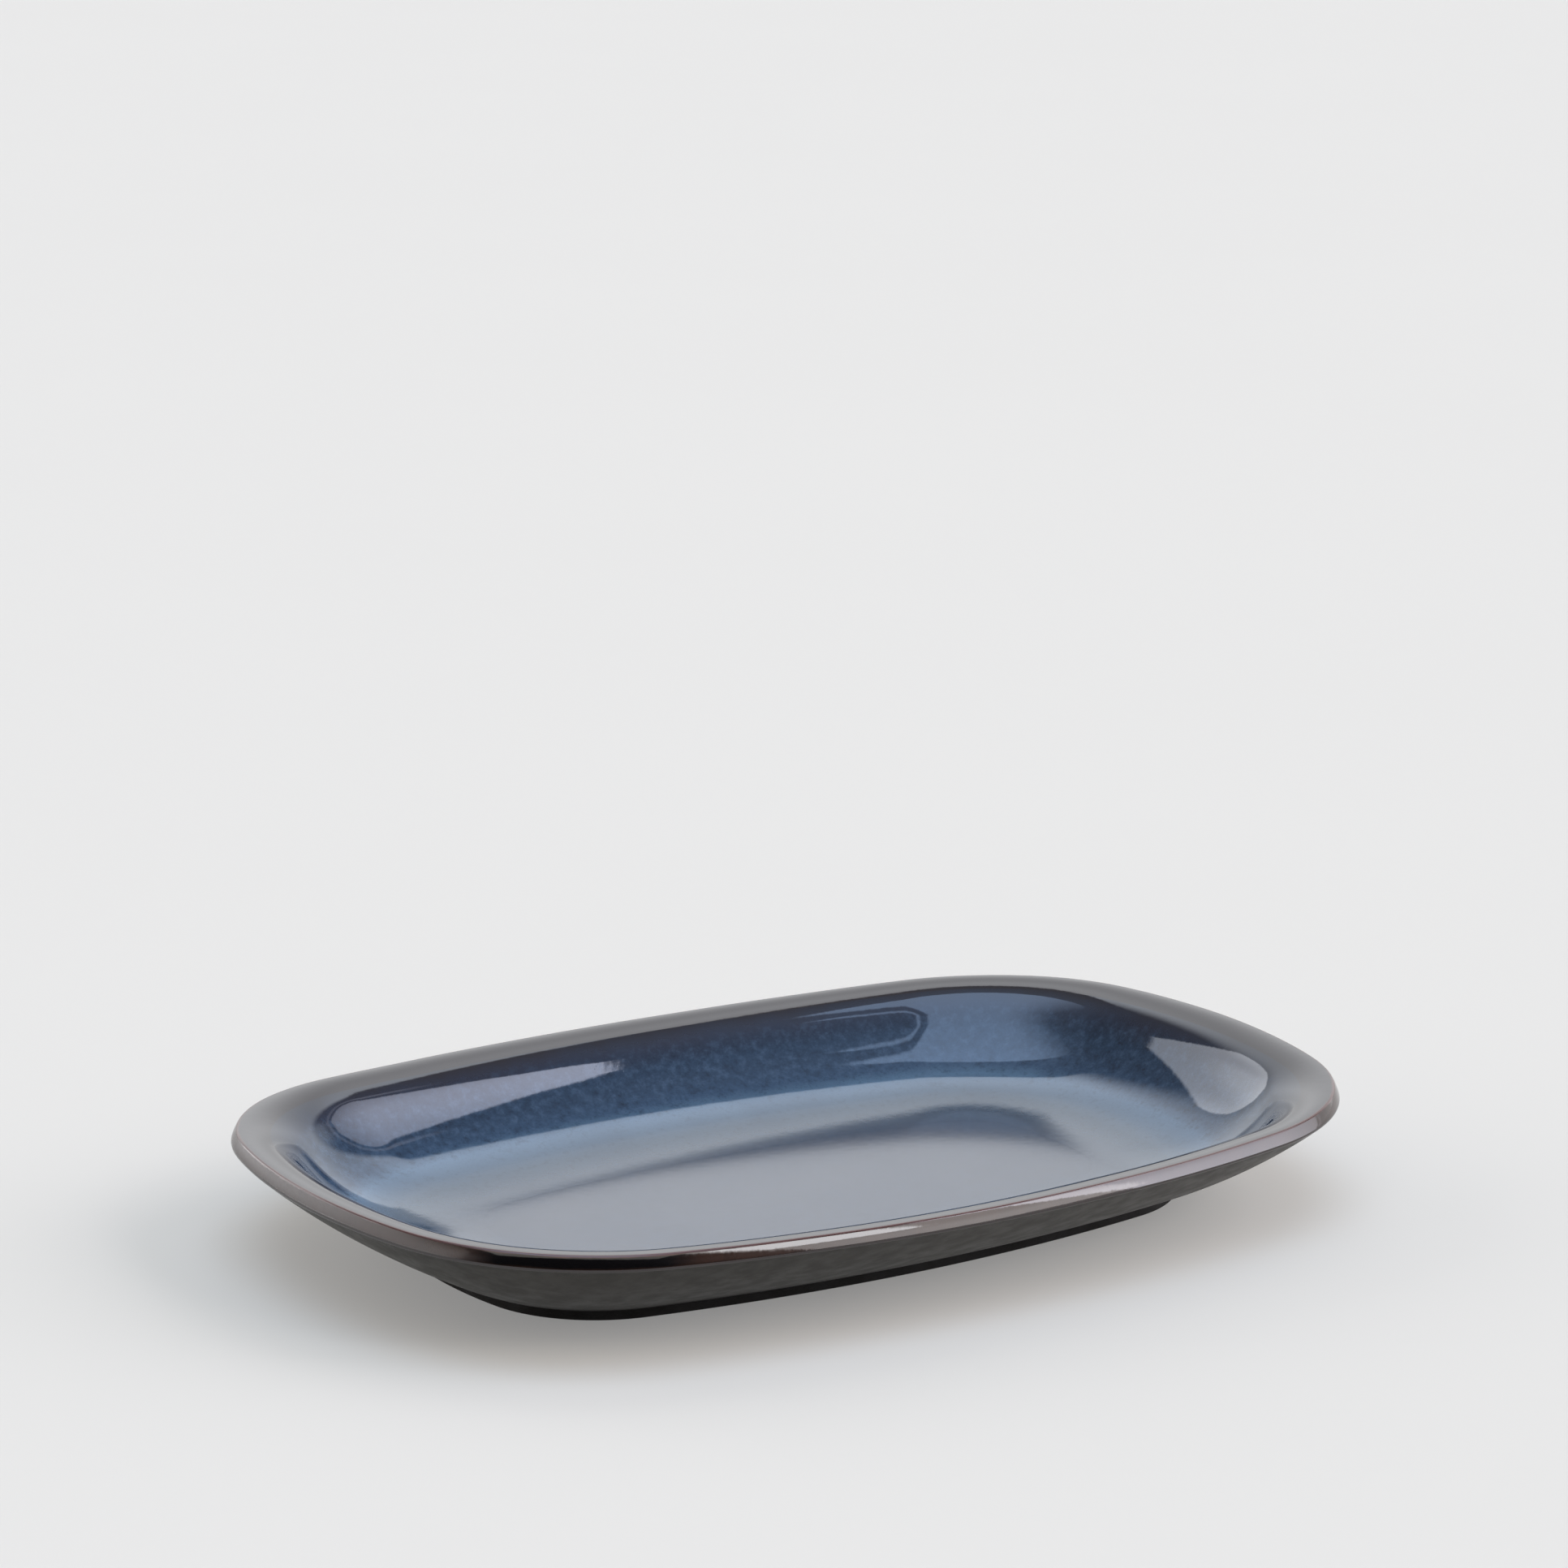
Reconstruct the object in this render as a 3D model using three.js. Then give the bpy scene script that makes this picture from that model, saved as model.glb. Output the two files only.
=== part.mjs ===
// Oval stoneware platter: a flared wall with a rolled lip, a gently dished floor and a low foot ring,
// coated in a reactive glaze. Millimetres, +Z up. The origin lies on the table under the middle.
import * as THREE from 'three';

// Rim, measured over the glazed lip
const LENGTH = 350;
const WIDTH = 237;
const SIDE_BOW_RADIUS = 546;
const END_BOW_RADIUS = 212;
const RIM_CORNER_RADIUS = 75.5;
const SIDE_HEIGHT = 34.4; // top of the lip at the middle of a long side
const END_RISE = 3.5; // how much higher the lip stands at the two ends
const LIP_THICKNESS = 5.6;

// Flared wall, seen in section
const WALL_SLOPE_DEGREES = 48; // inside, at the steepest
const ROLL_RADIUS = 22; // inside, where the wall turns level into the lip
const SWEEP_RADIUS = 46; // inside, where the wall runs down into the dish of the floor
const OUTER_SLOPE_DEGREES = 38; // outside, where the wall leaves the lip

// Floor and foot ring
const DISH_RADIUS = 160; // of the gentle dish round the flat of the floor
const DISH_SLOPE_DEGREES = 9; // of the dish where the wall's sweep takes over
const FLOOR_THICKNESS = 4.6;
const FOOT_INSET = 48.5; // how far the foot ring stands in from the rim
const FOOT_HEIGHT = 3;
const FOOT_WIDTH = 6;
const FOOT_EASE = 0.8; // the softened lower edges of the foot ring
const FOOT_CORNER_RADIUS = 41;

// Glaze
const GLAZE_THICKNESS = 0.8;
const BASE_GLAZE_CLEARANCE = 0.4; // bare line between the base glaze and the foot ring

// Facets of the curved stretches
const SIDE_STEPS = 6;
const END_STEPS = 4;
const CORNER_STEPS = 8;
const DISH_STEPS = 2;
const SWEEP_STEPS = 5;
const WALL_STEPS = 1;
const ROLL_STEPS = 4; // even, because the rim glaze starts halfway round the roll
const LIP_STEPS = 6;
const OUTER_STEPS = 4;

// Sizes that follow from the ones above
const SLOPE = THREE.MathUtils.degToRad(WALL_SLOPE_DEGREES);
const OUTER_SLOPE = THREE.MathUtils.degToRad(OUTER_SLOPE_DEGREES);
const DISH_SLOPE = THREE.MathUtils.degToRad(DISH_SLOPE_DEGREES);
const LIP_RADIUS = LIP_THICKNESS / 2;
const FLOOR_HEIGHT = FOOT_HEIGHT + FLOOR_THICKNESS;

// Rows of the section, counted from the flat's edge up the inside, over the lip and down the outside
const FLOOR_ROW = 0;
const ROLL_ROW = DISH_STEPS + SWEEP_STEPS + WALL_STEPS;
const RIM_GLAZE_ROW = ROLL_ROW + ROLL_STEPS / 2;
const LIP_TOP_ROW = ROLL_ROW + ROLL_STEPS;
const UNDER_LIP_ROW = LIP_TOP_ROW + LIP_STEPS;
const FOOT_ROW = UNDER_LIP_ROW + OUTER_STEPS;

// Points along an arc, without its last one.
function arcPoints(centre, radius, from, to, steps) {
  return Array.from({ length: steps }, (_, step) => {
    const turn = THREE.MathUtils.lerp(from, to, step / steps);
    return new THREE.Vector2(centre.x + radius * Math.cos(turn), centre.y + radius * Math.sin(turn));
  });
}

// One quarter of a bowed oval, from the middle of the right end to the middle of the far side:
// an end arc, a corner arc and a side arc, each tangent to the next.
function quarterOval(inset) {
  const endRadius = END_BOW_RADIUS - inset;
  const sideRadius = SIDE_BOW_RADIUS - inset;
  const cornerRadius = THREE.MathUtils.lerp(RIM_CORNER_RADIUS, FOOT_CORNER_RADIUS, inset / FOOT_INSET);
  const endCentre = new THREE.Vector2(LENGTH / 2 - END_BOW_RADIUS, 0);
  const sideCentre = new THREE.Vector2(0, WIDTH / 2 - SIDE_BOW_RADIUS);

  // The corner's centre lies at a known distance from both other centres.
  const toEnd = endRadius - cornerRadius;
  const toSide = sideRadius - cornerRadius;
  const between = endCentre.distanceTo(sideCentre);
  const along = (toSide ** 2 - toEnd ** 2 + between ** 2) / (2 * between);
  const across = Math.sqrt(toSide ** 2 - along ** 2);
  const axis = endCentre.clone().sub(sideCentre).divideScalar(between);
  const cornerCentre = sideCentre.clone().addScaledVector(axis, along);
  cornerCentre.add(new THREE.Vector2(axis.y, -axis.x).multiplyScalar(across));

  const endTurn = cornerCentre.clone().sub(endCentre).angle();
  const sideTurn = cornerCentre.clone().sub(sideCentre).angle();
  return [
    ...arcPoints(endCentre, endRadius, 0, endTurn, END_STEPS / 2),
    ...arcPoints(cornerCentre, cornerRadius, endTurn, sideTurn, CORNER_STEPS),
    ...arcPoints(sideCentre, sideRadius, sideTurn, Math.PI / 2, SIDE_STEPS / 2),
  ];
}

// The whole oval, anticlockwise, as four mirrored quarters.
function oval(inset) {
  const quarter = quarterOval(inset);
  const farMiddle = new THREE.Vector2(0, WIDTH / 2 - inset);
  const mirrored = quarter.slice(1).reverse().map((point) => new THREE.Vector2(-point.x, point.y));
  const half = [...quarter, farMiddle, ...mirrored];
  return [...half, ...half.map((point) => new THREE.Vector2(-point.x, -point.y))];
}

const RIM_OVAL = oval(0);

// A ring of the platter: its inset from the rim, its height, and how much of the end rise it takes.
function ring({ inset, z, lift }) {
  return oval(inset).map((point, step) => {
    const reach = RIM_OVAL[step].x / (LENGTH / 2);
    return new THREE.Vector3(point.x, point.y, z + lift * END_RISE * reach ** 2);
  });
}

// Collects the triangles of one closed piece, band by band.
class Skin {
  constructor() {
    this.positions = [];
  }

  face(a, b, c, turned) {
    const corners = turned ? [a, c, b] : [a, b, c];
    corners.forEach((corner) => this.positions.push(corner.x, corner.y, corner.z));
  }

  // Bands between neighbouring rings. The diagonal is the same whichever way the band faces.
  bands(rings, turned = false) {
    for (let row = 0; row + 1 < rings.length; row += 1) {
      const near = rings[row];
      const far = rings[row + 1];
      near.forEach((corner, step) => {
        const next = (step + 1) % near.length;
        this.face(corner, far[next], near[next], turned);
        this.face(corner, far[step], far[next], turned);
      });
    }
  }

  // A flat disc inside a level ring, facing up unless it is turned.
  disc(edge, turned = false) {
    const middle = new THREE.Vector3(0, 0, edge[0].z);
    edge.forEach((corner, step) => {
      this.face(middle, corner, edge[(step + 1) % edge.length], turned);
    });
  }

  mesh(name, material) {
    const geometry = new THREE.BufferGeometry();
    geometry.setAttribute('position', new THREE.Float32BufferAttribute(this.positions, 3));
    geometry.computeVertexNormals();
    const mesh = new THREE.Mesh(geometry, material);
    mesh.name = name;
    return mesh;
  }
}

// Section of the glazed surface as points of inset and height, one for each row.
function glazedSection() {
  const down = -Math.PI / 2;
  const wallTop = new THREE.Vector2(
    LIP_RADIUS + ROLL_RADIUS * Math.sin(SLOPE),
    SIDE_HEIGHT - ROLL_RADIUS * (1 - Math.cos(SLOPE)),
  );
  const dishTop = FLOOR_HEIGHT + DISH_RADIUS * (1 - Math.cos(DISH_SLOPE));
  const sweepTop = dishTop + SWEEP_RADIUS * (Math.cos(DISH_SLOPE) - Math.cos(SLOPE));
  const wallRun = (wallTop.y - sweepTop) / Math.tan(SLOPE);
  const wallFoot = new THREE.Vector2(wallTop.x + wallRun, sweepTop);
  const wall = new THREE.LineCurve(wallFoot, wallTop).getPoints(WALL_STEPS).slice(0, -1);

  const sweepCentre = new THREE.Vector2(
    wallFoot.x + SWEEP_RADIUS * Math.sin(SLOPE),
    wallFoot.y + SWEEP_RADIUS * Math.cos(SLOPE),
  );
  const sweep = arcPoints(sweepCentre, SWEEP_RADIUS, down - DISH_SLOPE, down - SLOPE, SWEEP_STEPS);
  const floorInset = sweepCentre.x + (DISH_RADIUS - SWEEP_RADIUS) * Math.sin(DISH_SLOPE);
  const dishCentre = new THREE.Vector2(floorInset, FLOOR_HEIGHT + DISH_RADIUS);
  const dish = arcPoints(dishCentre, DISH_RADIUS, down, down - DISH_SLOPE, DISH_STEPS);

  const rollCentre = new THREE.Vector2(LIP_RADIUS, SIDE_HEIGHT - ROLL_RADIUS);
  const roll = arcPoints(rollCentre, ROLL_RADIUS, Math.PI / 2 - SLOPE, Math.PI / 2, ROLL_STEPS);

  const lipCentre = new THREE.Vector2(LIP_RADIUS, SIDE_HEIGHT - LIP_RADIUS);
  const lipEnd = (3 * Math.PI) / 2 - OUTER_SLOPE;
  const lip = arcPoints(lipCentre, LIP_RADIUS, Math.PI / 2, lipEnd, LIP_STEPS);

  // Outside, the wall leaves the lip at its own slope and swells gently on its way to the foot.
  const lipEndNormal = new THREE.Vector2(Math.cos(lipEnd), Math.sin(lipEnd));
  const underLip = lipCentre.clone().addScaledVector(lipEndNormal, LIP_RADIUS);
  const foot = new THREE.Vector2(FOOT_INSET, FOOT_HEIGHT);
  const leaving = new THREE.Vector2(Math.cos(OUTER_SLOPE), -Math.sin(OUTER_SLOPE));
  const swell = underLip.clone().addScaledVector(leaving, underLip.distanceTo(foot) / 2);
  const outer = new THREE.QuadraticBezierCurve(underLip, swell, foot).getPoints(OUTER_STEPS);

  return [...dish, ...sweep, ...wall, ...roll, ...lip, ...outer];
}

// The clay surface lies one glaze thickness under the glazed one, and ends level at the floor and foot.
function claySection(glazed) {
  return glazed.map((point, row) => {
    if (row === FLOOR_ROW) {
      return new THREE.Vector2(point.x, point.y - GLAZE_THICKNESS);
    }
    const before = point.clone().sub(glazed[row - 1]).normalize();
    if (row === FOOT_ROW) {
      return new THREE.Vector2(point.x + GLAZE_THICKNESS / Math.abs(before.y), point.y);
    }
    const after = glazed[row + 1].clone().sub(point).normalize();
    const mitre = before.clone().add(after).normalize();
    const depth = GLAZE_THICKNESS / mitre.dot(before);
    return new THREE.Vector2(point.x - mitre.y * depth, point.y + mitre.x * depth);
  });
}

// Inside, the end rise grows from the floor to the lip; outside, from the foot to the lip.
function liftOf(row, z) {
  const base = row <= LIP_TOP_ROW ? FLOOR_HEIGHT : FOOT_HEIGHT;
  return THREE.MathUtils.clamp((z - base) / (SIDE_HEIGHT - base), 0, 1);
}

const GLAZED_SECTION = glazedSection();
const CLAY_SECTION = claySection(GLAZED_SECTION);
const LIFTS = GLAZED_SECTION.map((point, row) => liftOf(row, point.y));
const toRing = (point, row) => ring({ inset: point.x, z: point.y, lift: LIFTS[row] });
const GLAZED_RINGS = GLAZED_SECTION.map(toRing);
const CLAY_RINGS = CLAY_SECTION.map(toRing);

const MATERIALS = {
  clay: new THREE.MeshStandardMaterial({ color: 0x6e5a47, roughness: 0.85, metalness: 0 }),
  foot: new THREE.MeshStandardMaterial({ color: 0x2b2622, roughness: 0.8, metalness: 0 }),
  wellGlaze: new THREE.MeshStandardMaterial({ color: 0x4a617f, roughness: 0.08, metalness: 0 }),
  rimGlaze: new THREE.MeshStandardMaterial({ color: 0x5d4a42, roughness: 0.12, metalness: 0 }),
  outerGlaze: new THREE.MeshStandardMaterial({ color: 0x34322c, roughness: 0.15, metalness: 0 }),
  baseGlaze: new THREE.MeshStandardMaterial({ color: 0x302d29, roughness: 0.3, metalness: 0 }),
};

// Fired clay: floor, flared wall and the core of the lip, flat underneath.
function stonewareBody() {
  const skin = new Skin();
  skin.disc(CLAY_RINGS[FLOOR_ROW]);
  skin.bands(CLAY_RINGS);
  skin.disc(CLAY_RINGS[FOOT_ROW], true);
  return skin.mesh('stoneware_body', MATERIALS.clay);
}

// A glaze coat between two rows of the section, lying on the clay.
function glazeCoat(name, material, firstRow, lastRow) {
  const skin = new Skin();
  const outside = GLAZED_RINGS.slice(firstRow, lastRow + 1);
  const inside = CLAY_RINGS.slice(firstRow, lastRow + 1);
  skin.bands(outside);
  skin.bands(inside, true);
  skin.bands([outside.at(-1), inside.at(-1)]);
  if (firstRow === FLOOR_ROW) {
    skin.disc(outside[0]);
    skin.disc(inside[0], true);
  } else {
    skin.bands([outside[0], inside[0]], true);
  }
  return skin.mesh(name, material);
}

// The bare ring that the platter stands on, from section points that run once round it.
function footRing() {
  const outer = FOOT_INSET;
  const inner = FOOT_INSET + FOOT_WIDTH;
  const section = [
    { inset: outer, z: FOOT_HEIGHT },
    { inset: outer, z: FOOT_EASE },
    { inset: outer + FOOT_EASE, z: 0 },
    { inset: inner - FOOT_EASE, z: 0 },
    { inset: inner, z: FOOT_EASE },
    { inset: inner, z: FOOT_HEIGHT },
    { inset: outer, z: FOOT_HEIGHT },
  ];
  const skin = new Skin();
  skin.bands(section.map((point) => ring({ ...point, lift: 0 })));
  return skin.mesh('foot_ring', MATERIALS.foot);
}

// The coat on the underside, inside the foot ring.
function baseGlaze() {
  const inset = FOOT_INSET + FOOT_WIDTH + BASE_GLAZE_CLEARANCE;
  const upper = ring({ inset, z: FOOT_HEIGHT, lift: 0 });
  const lower = ring({ inset, z: FOOT_HEIGHT - GLAZE_THICKNESS, lift: 0 });
  const skin = new Skin();
  skin.disc(upper);
  skin.bands([upper, lower]);
  skin.disc(lower, true);
  return skin.mesh('base_glaze', MATERIALS.baseGlaze);
}

const platter = new THREE.Group();
platter.add(stonewareBody());
platter.add(footRing());
platter.add(glazeCoat('well_glaze', MATERIALS.wellGlaze, FLOOR_ROW, RIM_GLAZE_ROW));
platter.add(glazeCoat('rim_glaze', MATERIALS.rimGlaze, RIM_GLAZE_ROW, UNDER_LIP_ROW));
platter.add(glazeCoat('outer_glaze', MATERIALS.outerGlaze, UNDER_LIP_ROW, FOOT_ROW));
platter.add(baseGlaze());

export default platter;
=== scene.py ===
"""Oval stoneware platter in a reactive blue glaze, dressed over its CAD frame on a pale studio table.

Metres, +Z up. The origin lies on the table under the middle of the platter, and +X runs along its length.
"""

import logging
import math
from dataclasses import dataclass, field
from enum import Enum
from typing import Any, Sequence, Union

import bmesh
import bpy
import numpy as np
from mathutils import Matrix, Vector

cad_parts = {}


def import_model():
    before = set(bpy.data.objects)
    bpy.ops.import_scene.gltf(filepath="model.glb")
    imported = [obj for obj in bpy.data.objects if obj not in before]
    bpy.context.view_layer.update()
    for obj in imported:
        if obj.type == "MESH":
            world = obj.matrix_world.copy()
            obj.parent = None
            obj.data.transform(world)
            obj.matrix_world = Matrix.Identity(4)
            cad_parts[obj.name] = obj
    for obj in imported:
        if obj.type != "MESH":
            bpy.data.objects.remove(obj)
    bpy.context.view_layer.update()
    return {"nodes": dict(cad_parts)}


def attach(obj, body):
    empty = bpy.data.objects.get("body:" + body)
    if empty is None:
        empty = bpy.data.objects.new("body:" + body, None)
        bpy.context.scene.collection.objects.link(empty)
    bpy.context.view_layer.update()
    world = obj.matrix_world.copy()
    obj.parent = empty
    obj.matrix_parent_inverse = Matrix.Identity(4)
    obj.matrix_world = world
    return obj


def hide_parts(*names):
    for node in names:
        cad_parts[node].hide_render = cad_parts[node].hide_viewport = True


LOG = logging.getLogger("platter")
BODY = "root"
ROWS = ("inset", "height", "lift", "shrink", "run")
COLUMNS = ("arc", "share", "sign_x", "sign_y")
SHORT_STEP = 0.012

Colour = tuple[float, float, float]
SKY: Colour = (0.62, 0.80, 1.06)
Value = Union["Term", float, int]


class Coat(Enum):
    """The pieces of the platter, by CAD node and by material slot."""

    BODY = ("stoneware_body", "clay")
    FOOT = ("foot_ring", "bare_clay")
    WELL = ("well_glaze", "well_glaze")
    RIM = ("rim_glaze", "rim_glaze")
    OUTER = ("outer_glaze", "outer_glaze")
    BASE = ("base_glaze", "base_glaze")

    @property
    def node(self) -> str:
        """The CAD node that the piece stands for."""
        return self.value[0]

    @property
    def slot(self) -> str:
        """The record's material slot."""
        return self.value[1]


class Arc(Enum):
    """The three arcs of a quarter of the oval, from the end round the corner to the side."""

    END = 0
    CORNER = 1
    SIDE = 2


def feed(tree: bpy.types.NodeTree, socket: bpy.types.NodeSocket, value: Any) -> None:
    """Links a term or socket to an input, or sets the input's own value.

    Args:
        tree: The node tree that both are in.
        socket: The input.
        value: A term, an output socket or a plain value.
    """
    if isinstance(value, Term):
        tree.links.new(value.socket, socket)
    elif isinstance(value, bpy.types.NodeSocket):
        tree.links.new(value, socket)
    else:
        socket.default_value = value


class Term:
    """A number that runs through a node tree and takes plain arithmetic."""

    def __init__(self, tree: bpy.types.NodeTree, socket: bpy.types.NodeSocket) -> None:
        """Holds an output socket and the tree that it is in."""
        self.tree = tree
        self.socket = socket

    def join(self, operation: str, *others: Value) -> "Term":
        """Adds a Math node that starts from this term.

        Args:
            operation: Blender's name of the operation.
            others: The second and third operands, where the operation takes them.

        Returns:
            The node's result.
        """
        node = self.tree.nodes.new("ShaderNodeMath")
        node.operation = operation
        for socket, value in zip(node.inputs, (self, *others)):
            feed(self.tree, socket, value)
        return Term(self.tree, node.outputs[0])

    def __add__(self, other: Value) -> "Term":
        """Sum."""
        return self.join("ADD", other)

    def __sub__(self, other: Value) -> "Term":
        """Difference."""
        return self.join("SUBTRACT", other)

    def __mul__(self, other: Value) -> "Term":
        """Product."""
        return self.join("MULTIPLY", other)

    def __truediv__(self, other: Value) -> "Term":
        """Quotient."""
        return self.join("DIVIDE", other)

    def squared(self) -> "Term":
        """The term times itself."""
        return self * self

    def root(self) -> "Term":
        """Square root."""
        return self.join("SQRT")

    def sine(self) -> "Term":
        """Sine of an angle in radians."""
        return self.join("SINE")

    def cosine(self) -> "Term":
        """Cosine of an angle in radians."""
        return self.join("COSINE")

    def size(self) -> "Term":
        """The term without its sign."""
        return self.join("ABSOLUTE")

    def is_arc(self, arc: Arc) -> "Term":
        """One on the named arc of the oval, otherwise nought."""
        return self.join("COMPARE", float(arc.value), 0.25)

    def step(self, low: float, high: float, start: float = 0.0, end: float = 1.0) -> "Term":
        """Runs smoothly from one value to another between two bounds.

        Args:
            low: Where the change starts.
            high: Where it ends.
            start: The value up to the first bound.
            end: The value past the second bound.

        Returns:
            The eased value.
        """
        node = self.tree.nodes.new("ShaderNodeMapRange")
        node.interpolation_type = "SMOOTHSTEP"
        feed(self.tree, node.inputs[0], self)
        for socket, value in zip(list(node.inputs)[1:5], (low, high, start, end)):
            socket.default_value = value
        return Term(self.tree, node.outputs[0])


@dataclass(frozen=True)
class Oval:
    """Plan of the platter: a bowed oval of four mirrored quarters, with three arcs in each."""

    length: float = 0.350
    width: float = 0.237
    side_bow: float = 0.546
    end_bow: float = 0.212
    rim_corner: float = 0.0755
    foot_corner: float = 0.041
    foot_inset: float = 0.0485
    end_rise: float = 0.0035
    end_steps: int = 12
    corner_steps: int = 28
    side_steps: int = 22

    def quarter(self) -> list[tuple[Arc, float]]:
        """Steps of a quarter, each as an arc and the share of it that is passed.

        Returns:
            The steps from the middle of the end to the middle of the side, both included.
        """
        counts = ((Arc.END, self.end_steps), (Arc.CORNER, self.corner_steps), (Arc.SIDE, self.side_steps))
        steps = [(arc, step / count) for arc, count in counts for step in range(count)]
        return [*steps, (Arc.SIDE, 1.0)]

    def lap(self) -> list[tuple[Arc, float, float, float]]:
        """Steps once round the oval, anticlockwise.

        Returns:
            Arc, share, and the signs of X and Y for each step.
        """
        out = self.quarter()
        back = out[-2:0:-1]
        quarters = ((out, 1.0, 1.0), (back, -1.0, 1.0), (out, -1.0, -1.0), (back, 1.0, -1.0))
        return [(arc, share, x, y) for steps, x, y in quarters for arc, share in steps]


@dataclass
class Profile:
    """A section of a piece, row by row, to be swept round the oval."""

    inset: list[float] = field(default_factory=list)
    height: list[float] = field(default_factory=list)
    lift: list[float] = field(default_factory=list)
    shrink: list[float] = field(default_factory=list)
    run: list[float] = field(default_factory=list)
    closed: bool = False

    def extend(self, other: "Profile") -> "Profile":
        """Adds another profile's rows after this one's.

        Args:
            other: The profile that follows.

        Returns:
            This profile.
        """
        for name in ROWS:
            getattr(self, name).extend(getattr(other, name))
        return self

    def reversed(self) -> "Profile":
        """The same rows in the opposite order."""
        rows = (getattr(self, name)[::-1] for name in ROWS)
        return Profile(*rows, closed=self.closed)

    def __len__(self) -> int:
        """Number of rows."""
        return len(self.inset)


def tight(count: int) -> np.ndarray:
    """Shares along a stretch, with a very short first and last step so that its ends shade true.

    Args:
        count: Number of even steps.

    Returns:
        Shares from 0 to 1.
    """
    even = np.linspace(0.0, 1.0, count + 1)
    short = SHORT_STEP / count
    return np.concatenate(([0.0, short], even[1:-1], [1.0 - short, 1.0]))


@dataclass(frozen=True)
class WallSection:
    """Section of the floor, flared wall, rolled lip and outside, at the middle of a long side."""

    side_height: float = 0.0344
    lip_thickness: float = 0.0056
    slope: float = math.radians(48.0)
    roll: float = 0.022
    sweep: float = 0.046
    ease_slope: float = math.radians(9.0)
    ease: float = 0.160
    outer_slope: float = math.radians(38.0)
    crown: float = 0.0010
    face: float = 0.0133
    lower: float = 0.0009
    face_turns: tuple[float, float] = (math.radians(58.0), math.radians(72.0))
    floor_thickness: float = 0.0046
    foot_inset: float = 0.0485
    foot_height: float = 0.003
    glaze: float = 0.0008
    floor_way: float = 0.045

    @property
    def floor(self) -> float:
        """Height of the glazed floor."""
        return self.foot_height + self.floor_thickness

    @property
    def lip_radius(self) -> float:
        """Radius of the rounded lip."""
        return self.lip_thickness / 2

    def rise(self, slope: float) -> float:
        """Height over the floor at which the dish reaches a slope."""
        eased = min(slope, self.ease_slope)
        return self.ease * (1 - math.cos(eased)) + self.sweep * (math.cos(eased) - math.cos(slope))

    def reach(self, slope: float) -> float:
        """Distance from the flat of the floor at which the dish reaches a slope."""
        eased = min(slope, self.ease_slope)
        return self.ease * math.sin(eased) + self.sweep * (math.sin(slope) - math.sin(eased))

    @property
    def wall_run(self) -> float:
        """Length of the straight stretch between the sweep and the roll."""
        turned = self.roll * (1 - math.cos(self.slope)) + self.rise(self.slope)
        return (self.side_height - self.floor - turned) / math.sin(self.slope)

    @property
    def floor_inset(self) -> float:
        """How far the flat of the floor stands in from the rim."""
        turned = self.roll * math.sin(self.slope) + self.reach(self.slope)
        return self.lip_radius + turned + self.wall_run * math.cos(self.slope)

    @property
    def roll_middle(self) -> float:
        """Slope at which the rim's glaze takes over from the well's."""
        return self.slope / 2

    def rows(self, points: Sequence[tuple[float, float, float, float]]) -> Profile:
        """Turns points of inset, height, lift and run into a profile."""
        inset, height, lift, run = (list(map(float, column)) for column in zip(*points))
        return Profile(inset, height, lift, [1.0] * len(inset), run)

    def inside_at(self, slope: float, upper: bool, depth: float) -> tuple[float, float, float, float]:
        """A point of the inside where the wall has a given slope.

        Args:
            slope: The slope there, in radians.
            upper: Whether the point is on the roll, above the wall, or on the sweep below it.
            depth: How far under the glazed surface the point lies.

        Returns:
            Inset, height, share of the end rise, and the way down from the lip along the surface.
        """
        if upper:
            height = self.side_height - self.roll * (1 - math.cos(slope))
            inset = self.lip_radius + (self.roll - depth) * math.sin(slope)
            low = self.side_height - self.roll + (self.roll - depth) * math.cos(slope)
            run = self.roll * slope
        else:
            height = self.floor + self.rise(slope)
            inset = self.floor_inset - self.reach(slope) - depth * math.sin(slope)
            low = height - depth * math.cos(slope)
            eased = min(slope, self.ease_slope)
            turned = self.sweep * (self.slope - max(slope, self.ease_slope))
            run = self.roll * self.slope + self.wall_run + turned + self.ease * (self.ease_slope - eased)
        lift = (height - self.floor) / (self.side_height - self.floor)
        return inset, low, lift, run

    def well(self, depth: float, fine: int) -> Profile:
        """The floor's middle out to its edge, up the sweep and the wall, and halfway round the roll.

        Args:
            depth: How far under the glazed surface the rows lie.
            fine: Steps along the sweep, from which the other stretches take theirs.

        Returns:
            The rows.
        """
        edge = self.inside_at(0.0, False, depth)
        shares = np.linspace(0.0, 1.0, max(3, fine // 2))[:-1]
        flat = Profile(
            [edge[0]] * len(shares), [edge[1]] * len(shares), [0.0] * len(shares),
            list(map(float, shares)), [edge[3] + (1.0 - float(share)) * self.floor_way for share in shares],
        )
        dish = [self.inside_at(self.ease_slope * s, False, depth) for s in tight(fine // 3)]
        turned = self.slope - self.ease_slope
        sweep = [self.inside_at(self.ease_slope + turned * s, False, depth) for s in tight(fine)[1:]]
        roll_turns = self.slope - (self.slope - self.roll_middle) * tight(fine // 2)
        upper = [self.inside_at(turn, True, depth) for turn in roll_turns]
        return flat.extend(self.rows(dish)).extend(self.rows(sweep)).extend(self.rows(upper))

    def roll_top(self, depth: float, fine: int) -> Profile:
        """The upper half of the roll, up to the top of the lip.

        Args:
            depth: How far under the glazed surface the rows lie.
            fine: Number of even steps.

        Returns:
            The rows.
        """
        return self.rows([self.inside_at(s, True, depth) for s in self.roll_middle * (1 - tight(fine))])

    def outside_lift(self, height: float) -> float:
        """Share of the end rise that a point of the outside takes."""
        return min(1.0, max(0.0, (height - self.foot_height) / (self.side_height - self.foot_height)))

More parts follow.
